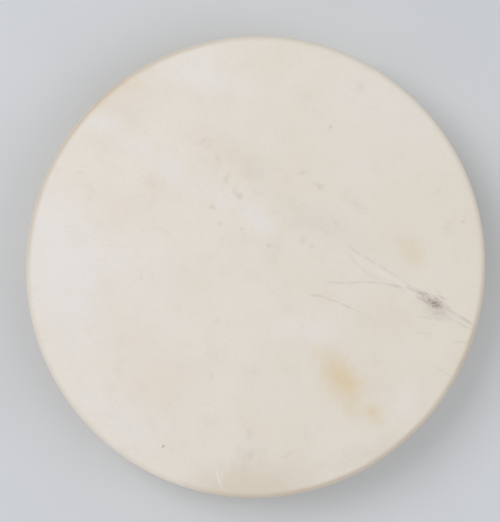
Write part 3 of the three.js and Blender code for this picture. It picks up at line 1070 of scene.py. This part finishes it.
# Paler, cooler areas, the first five along the animal's backbone: start, end, width and strength.
COOL_AREAS = [
    ((-0.76, 0.66), (-0.56, 0.6), 0.085, 0.6),
    ((-0.62, 0.58), (-0.44, 0.5), 0.075, 0.75),
    ((-0.44, 0.49), (-0.24, 0.33), 0.095, 0.72),
    ((-0.24, 0.35), (-0.06, 0.26), 0.06, 0.5),
    ((-0.06, 0.26), (0.06, 0.15), 0.075, 0.64),
    ((-0.9, 0.3), (-0.78, -0.3), 0.32, 0.95),
    ((-0.62, 0.06), (-0.45, -0.16), 0.26, 0.45),
    ((-0.42, 0.88), (-0.02, 0.76), 0.11, 0.85),
    ((0.42, 0.82), (0.76, 0.56), 0.28, 0.42),
    ((-0.3, 0.93), (-0.14, 0.88), 0.1, 0.5),
    ((-0.72, -0.56), (-0.42, -0.76), 0.15, 0.6),
    ((0.61, -0.64), (0.68, -0.5), 0.07, 0.5),
    ((0.08, -0.29), (0.33, -0.26), 0.11, 0.6),
    ((0.43, 0.43), (0.5, 0.4), 0.06, 0.28),
]


def scar_hairs():
    """Fine dark hairs left in the scar, all lying nearly along it."""
    spread = [0.034, 0.020]  # along the scar and across it
    width = 0.006
    random = np.random.default_rng(12)
    hairs = []
    for _ in range(SCAR_HAIRS):
        x, y = random.normal(0, 1, 2) * spread
        middle = SCAR_PLACE + turned(np.array([x, y, 0]), SCAR_LIE)[:2]
        angle = SCAR_LIE + random.normal(0, 0.2)
        half = random.uniform(0.008, 0.035) * polar(1, angle)[:2]
        hairs.append((middle - half, middle + half, width, random.uniform(0.15, 0.55)))
    return hairs


def scratch_marks():
    """A stroke from each point to the next, drawn a little past both so that they join up."""
    for points, strength in SCRATCHES:
        for start, end in zip(np.array(points[:-1]), np.array(points[1:])):
            past = 0.22 * (end - start)
            yield start - past, end + past, SCRATCH_WIDTH, SCRATCH_DARKNESS * strength


def speck_marks():
    return [(place, place, SPECK_FADE * radius, strength) for place, radius, strength in SPECKS]


def with_core(marks):
    return [(*mark, STREAK_CORE) for mark in marks]


# ---- Materials ----

def from_axis(nodes):
    """The distance from the drum's axis, as if its outline were a circle."""
    round_place = nodes.seen_through((0, 0, 0), OVAL_AZIMUTH, (1 + OVAL_SHARE, 1 - OVAL_SHARE, 1))
    return nodes.length(nodes.flat(round_place))


def around_drum(nodes, along, radial, upward):
    """The place unrolled round the drum, with blots drawn out by these factors. Its two ends
    meet at the end of the hoop's strip that shows inside the joint."""
    strip_end = SCARF_AZIMUTH + SCARF_SPAN / 2
    turned_place = nodes.seen_through((0, 0, 0), strip_end - 0.75 * TURN, (1, 1, 1))
    azimuth = nodes.math("ARCTAN2", nodes.part(turned_place, 0), nodes.part(turned_place, 1))
    return nodes.joined(
        nodes.times(azimuth, HOOP_R / along),
        nodes.times(nodes.length(nodes.flat(nodes.place)), 1 / radial),
        nodes.times(nodes.part(nodes.place, 2), 1 / upward),
    )


def down_the_side(nodes, along, drawn_out):
    """The place on the hide's side, with blots that wide round the drum, drawn out down the
    side and inwards behind. It has no ends round the drum."""
    flat_place = nodes.flat(nodes.place)
    outwards = nodes.vector("NORMALIZE", flat_place)
    around = nodes.vector("MULTIPLY", outwards, (HEAD_R / along, HEAD_R / along, 0))
    way_down = nodes.math("SUBTRACT", nodes.length(flat_place), nodes.part(nodes.place, 2))
    return nodes.vector("ADD", around, nodes.joined(0, 0, nodes.times(way_down, 1 / drawn_out)))


def share_of_head(nodes):
    """The place on the head, in shares of its radius."""
    return nodes.vector("MULTIPLY", nodes.place, (1 / HEAD_R, 1 / HEAD_R, 0))


def head_marks(nodes):
    """How dark, brown, smudged and shaded, amber and cool the head is at each place, each from 0 to
    1. The shading is painted shade along its bottom edge.
    """
    share = share_of_head(nodes)
    ragged = nodes.warped(share, 4 * MM, 0.03, 4)
    broad = nodes.warped(nodes.warped(share, 45 * MM, 0.12), 9 * MM, 0.05, 4)
    dark = nodes.strongest(nodes.warped(share, 12 * MM, 0.012), scratch_marks())
    dark = nodes.strongest(nodes.warped(share, 3 * MM, 0.004), scar_hairs(), dark)
    dark = nodes.strongest(ragged, speck_marks(), dark)
    scar = nodes.times(nodes.strongest(ragged, SCAR_STAINS), nodes.clouds(2.6 * MM, 0.2, 0.6, 4))
    dark = nodes.math("MAXIMUM", dark, scar)
    brown = nodes.strongest(ragged, with_core(STREAKS))
    # Smudges, the first of which is painted shade along the head's bottom edge.
    smudged_and_shaded = nodes.strongest(broad, SMUDGES_AND_SHADE)
    amber = nodes.strongest(broad, AMBER_STAINS)
    cool = nodes.strongest(broad, COOL_AREAS)
    return dark, brown, smudged_and_shaded, amber, cool


def rawhide():
    """Scraped white hide, cloudy, with pores, scratches and stains, and brown at the rim. Painted
    shade darkens its right side, its bottom edge and its rim, and the rim's very edge has a painted
    highlight.
    """
    nodes = Nodes("rawhide_hair_side")
    dark, brown, smudged_and_shaded, amber, cool = head_marks(nodes)
    slightly_wavy = nodes.warped(share_of_head(nodes), 12 * MM, 0.012)
    warm = nodes.clouds(60 * MM, 0.36, 0.66, 5, where=nodes.warped(nodes.place, 60 * MM, 0.03))
    blots = nodes.clouds(14 * MM, 0.5, 0.8, 5, 0.38)
    # Painted shade: the head is painted darker and warmer towards its right side, away from the
    # light.
    painted_shade_to_the_right = nodes.between(nodes.part(nodes.place, 0), -0.8 * HEAD_R, HEAD_R, 0.0, 0.5)
    pale = nodes.times(cool, nodes.clouds(24 * MM, 0.0, 0.62, 4))
    pores = nodes.clouds(2 * MM, 0.52, 0.78, 3, 0.16)
    soaked = nodes.times(amber, nodes.clouds(13 * MM, -0.1, 0.62, 4))
    streaked = nodes.times(brown, nodes.clouds(5 * MM, 0.25, 0.6, 4))
    pale_lines = nodes.strongest(slightly_wavy, with_core(PALE_SCRATCHES))
    head = nodes.painted(
        nodes.mix(warm, linear(225, 217.5, 207.5), linear(223, 213.5, 201)),
        (blots, (213, 201, 185)),
        (painted_shade_to_the_right, (219, 210, 194.5)),
        # Smudges, and painted shade along the head's bottom edge.
        (smudged_and_shaded, (207, 196, 182)),
        (pale, (225, 220, 216.5)),
        (pores, (190, 176, 160)),
        (soaked, (216, 195, 158)),
        (streaked, (190, 172, 152)),
        (pale_lines, (232, 227, 220)),
        (dark, (140, 122, 114)),
    )
    colour = with_side(nodes, head)
    grain = nodes.noise(0.9 * MM, 4)
    creases = nodes.noise(1, 3, where=nodes.stretched(9 * MM, 2.2 * MM, 9 * MM, math.radians(-38)))
    surface = nodes.relief((0.10 * MM, grain), (0.22 * MM, creases))
    rough = nodes.between(nodes.noise(20 * MM, 4), 0.3, 0.7, 0.46, 0.6)
    return nodes.shade(Base_Color=colour, Roughness=rough, Normal=surface)


def rim_shade(nodes):
    """How brown the rim is from above: partly the hide's own brown, partly painted shade where the
    head rolls over the hoop. It is most so where the backbone crosses it, at the upper left and the
    lower right, and a painted highlight makes its very edge paler."""
    distance = from_axis(nodes)
    # Partly painted shade, where the head rolls over the hoop's edge.
    at_rim = nodes.between(distance, 0.968 * HEAD_R, 0.988 * HEAD_R)
    # Painted highlight: less brown at the rim's very edge, as if it caught the light.
    painted_edge_highlight = nodes.between(distance, 0.990 * HEAD_R, 0.998 * HEAD_R, 1.0, 0.35)
    share = share_of_head(nodes)
    rightwards = nodes.math("ADD", nodes.part(share, 0), 0.2)
    off_backbone = nodes.times(rightwards, nodes.part(share, 1))
    patchy = nodes.between(nodes.noise(50 * MM, 3), 0.35, 0.6, 0.75, 1.0)
    strength = nodes.times(patchy, nodes.between(off_backbone, 0.3, -0.35, 0.22, 0.9))
    return nodes.times(nodes.times(at_rim, painted_edge_highlight), strength)


def with_side(nodes, head):
    """Adds the brown rim, partly painted shade, with a painted highlight at its very edge, and the
    hide's side, streaked, and amber where it turns in behind.
    """
    height = nodes.part(nodes.place, 2)
    streaks = nodes.noise(1, 5, 0.5, where=down_the_side(nodes, 9 * MM, 40 * MM), twist=0.3)
    amber_streaks = nodes.between(streaks, 0.2, 0.8, 0.35, 0.8)
    low_down = nodes.between(height, 0.6 * TOP, 0.02 * TOP)
    side = nodes.painted(
        nodes.mix(nodes.between(streaks, 0.3, 0.7), linear(224, 211, 184), linear(211, 192, 157)),
        (nodes.times(low_down, amber_streaks), (183, 146, 92)),
        (nodes.clouds(11 * MM, 0.5, 0.85, 5, 0.35), (192, 165, 120)),
    )
    ragged_height = nodes.math("ADD", height, nodes.times(streaks, 7 * MM))
    below_rim = nodes.between(ragged_height, TOP + 2 * MM, TOP - 5 * MM)
    # The rim's brown is partly painted shade, and paler at its very edge with a painted highlight.
    return nodes.mix(below_rim, nodes.painted(head, (rim_shade(nodes), (198, 183, 163))), side)


def flesh_side():
    """The hide's inner side: yellower, more fibrous and duller, with a few faint veins."""
    nodes = Nodes("rawhide_flesh_side")
    cloud = nodes.clouds(45 * MM, 0.32, 0.68, 5)
    winding = nodes.noise(60 * MM, 4, twist=1.4)
    from_vein = nodes.math("ABSOLUTE", nodes.math("SUBTRACT", winding, 0.5))
    long_blots = nodes.stretched(8 * MM, 2.6 * MM, 8 * MM, math.radians(25))
    fibres = nodes.noise(1, 5, where=long_blots, twist=1.6)
    colour = nodes.painted(
        nodes.mix(cloud, linear(226, 215, 192), linear(214, 198, 168)),
        (nodes.clouds(9 * MM, 0.5, 0.78, 5, 0.4), (198, 176, 140)),
        (nodes.between(from_vein, 0.014, 0.0, 0.0, 0.22), (196, 168, 132)),
        (nodes.between(fibres, 0.45, 0.75, 0.0, 0.25), (236, 228, 210)),
    )
    surface = nodes.relief((0.25 * MM, fibres), (0.5 * MM, nodes.noise(12 * MM, 3)))
    return nodes.shade(Base_Color=colour, Roughness=0.7, Normal=surface)


def ash_wood():
    """Bent ash: bold growth lines along the strip, and rows of open pores."""
    nodes = Nodes("bent_ash")
    growth = nodes.noise(1, 3, where=around_drum(nodes, 220 * MM, 2.6 * MM, 4.5 * MM), twist=0.6)
    rings = nodes.between(nodes.math("PINGPONG", nodes.times(growth, 5), 0.5), 0.08, 0.4)
    fibres = nodes.noise(1, 4, where=around_drum(nodes, 22 * MM, 0.35 * MM, 0.35 * MM))
    dots = nodes.noise(1, 1, where=around_drum(nodes, 5 * MM, 0.3 * MM, 0.3 * MM))
    pores = nodes.times(nodes.between(dots, 0.66, 0.74), nodes.between(rings, 0.6, 0.1))
    colour = nodes.painted(
        nodes.mix(rings, linear(186, 143, 95), linear(214, 180, 134)),
        (nodes.between(fibres, 0.45, 0.75, 0.0, 0.5), (166, 122, 76)),
        (pores, (110, 74, 44)),
        (nodes.clouds(60 * MM, 0.35, 0.7, most=0.35), (190, 146, 96)),
    )
    surface = nodes.relief((0.10 * MM, fibres), (0.15 * MM, nodes.math("SUBTRACT", 1, pores)))
    rough = nodes.between(fibres, 0.3, 0.7, 0.48, 0.62)
    return nodes.shade(Base_Color=colour, Roughness=rough, Normal=surface)


def old_copper():
    """Copper with hammer dents, gone dull in spots."""
    nodes = Nodes("hammered_copper")
    bright = nodes.clouds(2.4 * MM, 0.34, 0.66)
    colour = nodes.painted(
        nodes.mix(bright, linear(176, 122, 92), linear(222, 158, 122)),
        (nodes.clouds(1.2 * MM, 0.55, 0.75, most=0.5), (118, 96, 76)),
    )
    dents = nodes.noise(1.3 * MM, 1)
    surface = nodes.relief((0.10 * MM, dents), (0.02 * MM, nodes.noise(0.15 * MM, 2)))
    rough = nodes.between(bright, 0, 1, 0.55, 0.4)
    return nodes.shade(Base_Color=colour, Metallic=1.0, Roughness=rough, Normal=surface)


def ring_steel():
    """Drawn steel bar, with scale round the weld and a little rust."""
    nodes = Nodes("welded_steel")
    weld_x, weld_y = polar(RING_R, WELD_AZIMUTH)[:2]
    from_weld = nodes.length(nodes.vector("SUBTRACT", nodes.place, (weld_x, weld_y, RING_Z)))
    mottle = nodes.clouds(5 * MM, 0.35, 0.65, 5)
    scale = nodes.between(from_weld, 14 * MM, 3 * MM, 0.0, 0.85)
    rust = nodes.clouds(2.4 * MM, 0.62, 0.72, 5, 0.7)
    colour = nodes.painted(
        nodes.mix(mottle, linear(150, 150, 148), linear(176, 176, 172)),
        (scale, (92, 84, 82)),
        (rust, (128, 84, 56)),
    )
    scratches = nodes.noise(1, 3, where=around_drum(nodes, 60 * MM, 0.2 * MM, 0.2 * MM))
    surface = nodes.relief((0.03 * MM, scratches), (0.08 * MM, nodes.noise(1.5 * MM, 4)))
    rough = nodes.between(nodes.math("MAXIMUM", scale, rust), 0, 0.8, 0.34, 0.7)
    return nodes.shade(Base_Color=colour, Metallic=1.0, Roughness=rough, Normal=surface)


def dried_lace():
    """Rawhide cut in a strip: horn-like and amber, with dark and chalky spots."""
    nodes = Nodes("dried_lace")
    amber = nodes.clouds(9 * MM, 0.36, 0.62, 4)
    colour = nodes.painted(
        nodes.mix(amber, linear(222, 204, 166), linear(193, 155, 99)),
        (nodes.clouds(3 * MM, 0.58, 0.76, 4, 0.55), (150, 108, 62)),
        (nodes.clouds(2 * MM, 0.6, 0.72, 3, 0.6), (232, 220, 194)),
    )
    fibres = nodes.noise(0.5 * MM, 4, 0.65)
    surface = nodes.relief((0.16 * MM, fibres), (0.25 * MM, nodes.noise(2.2 * MM, 3)))
    rough = nodes.between(amber, 0, 1, 0.56, 0.38)
    return nodes.shade(Base_Color=colour, Roughness=rough, Normal=surface)


def brown_suede():
    """Soft leather with a raised nap, brushed lighter and darker by the hand."""
    nodes = Nodes("brown_suede")
    brushed = nodes.clouds(7 * MM, 0.36, 0.64, 4)
    nap = nodes.noise(0.45 * MM, 5, 0.75)
    colour = nodes.painted(
        nodes.mix(brushed, linear(122, 80, 50), linear(152, 106, 70)),
        (nodes.between(nap, 0.3, 0.7, 0.0, 0.6), (176, 132, 94)),
        (nodes.clouds(16 * MM, 0.52, 0.7, most=0.5), (96, 62, 40)),
    )
    surface = nodes.relief((0.25 * MM, nap), (0.35 * MM, nodes.noise(2.6 * MM, 3)))
    return nodes.shade(
        Base_Color=colour,
        Roughness=0.94,
        Normal=surface,
        Sheen_Weight=0.35,
        Sheen_Roughness=0.5,
        Sheen_Tint=linear(214, 178, 140),
    )


# ---- The studio ----

FLOOR_HALF = 30.0  # so far that its edge never shows


def area_light(name, position, target, size, power, colour):
    lamp = bpy.data.lights.new(name, "AREA")
    lamp.energy = power
    lamp.size = size
    lamp.color = colour
    light = in_scene(name, lamp)
    light.location = position
    light.rotation_euler = (Vector(target) - Vector(position)).to_track_quat("-Z", "Y").to_euler()


def pale_floor():
    nodes = Nodes("pale_floor")
    cloud = nodes.clouds(200 * MM, 0.3, 0.7)
    colour = nodes.mix(cloud, linear(204, 206, 209), linear(207, 209, 212))
    nodes.shade(Base_Color=colour, Roughness=0.8)
    mesh = bpy.data.meshes.new("floor")
    corners = [(-1, -1), (1, -1), (1, 1), (-1, 1)]
    mesh.from_pydata([(x * FLOOR_HALF, y * FLOOR_HALF, 0) for x, y in corners], [], [(0, 1, 2, 3)])
    mesh.materials.append(nodes.material)
    in_scene("floor", mesh)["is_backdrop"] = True


def studio():
    """Soft light, strongest from the upper left, over a plain floor."""
    scene = bpy.context.scene
    scene.view_settings.view_transform = "Standard"
    scene.world = bpy.data.worlds.new("studio")
    scene.world.use_nodes = True
    backdrop = scene.world.node_tree.nodes["Background"]
    backdrop.inputs["Color"].default_value = linear(232, 236, 240)
    backdrop.inputs["Strength"].default_value = 0.62
    pale_floor()
    area_light("key", (-1.3, 0.8, 2.1), (0, 0, 0), 1.4, 28, (1, 0.985, 0.97))
    area_light("fill", (1.6, -0.3, 1.7), (0, 0, 0), 1.8, 13, (1, 0.99, 0.98))
    area_light("low", (-0.6, -1.9, 0.5), (0, 0, 0.03), 1.0, 5, (1, 1, 1))


def camera():
    """Straight above the drum, whose middle is a little right of and below the view's."""
    lens = bpy.data.cameras.new("camera")
    lens.sensor_width = 36  # millimetres
    lens.lens = 80  # focal length, in millimetres
    shown = 2.258 * HEAD_R  # length of the view's long side, level with the head
    left = 0.0240 * HEAD_R
    up = 0.0258 * HEAD_R
    view = in_scene("camera", lens)
    view.location = (-left, up, TOP + shown * lens.lens / lens.sensor_width)
    bpy.context.scene.camera = view


# ---- The drum ----

def frame_drum():
    wood = ash_wood()
    copper = old_copper()
    lace = dried_lace()
    suede = brown_suede()
    hoop = bent_hoop(wood)
    rawhide_head(hoop, rawhide(), flesh_side())
    for number, (azimuth, height) in enumerate(rivet_places(), start=1):
        rivet(number, azimuth, height, copper)
        burr(number, azimuth, height, copper)
    centre_ring(ring_steel())
    rawhide_lace(lace)
    tied_knot(lace)
    for number in range(1, ARMS + 1):
        suede_wrap(number, suede)


camera()
studio()
frame_drum()

boxes = {"cad": cad_bounds, "visual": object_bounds()}
{name: [list(corner) for corner in box] for name, box in boxes.items()}
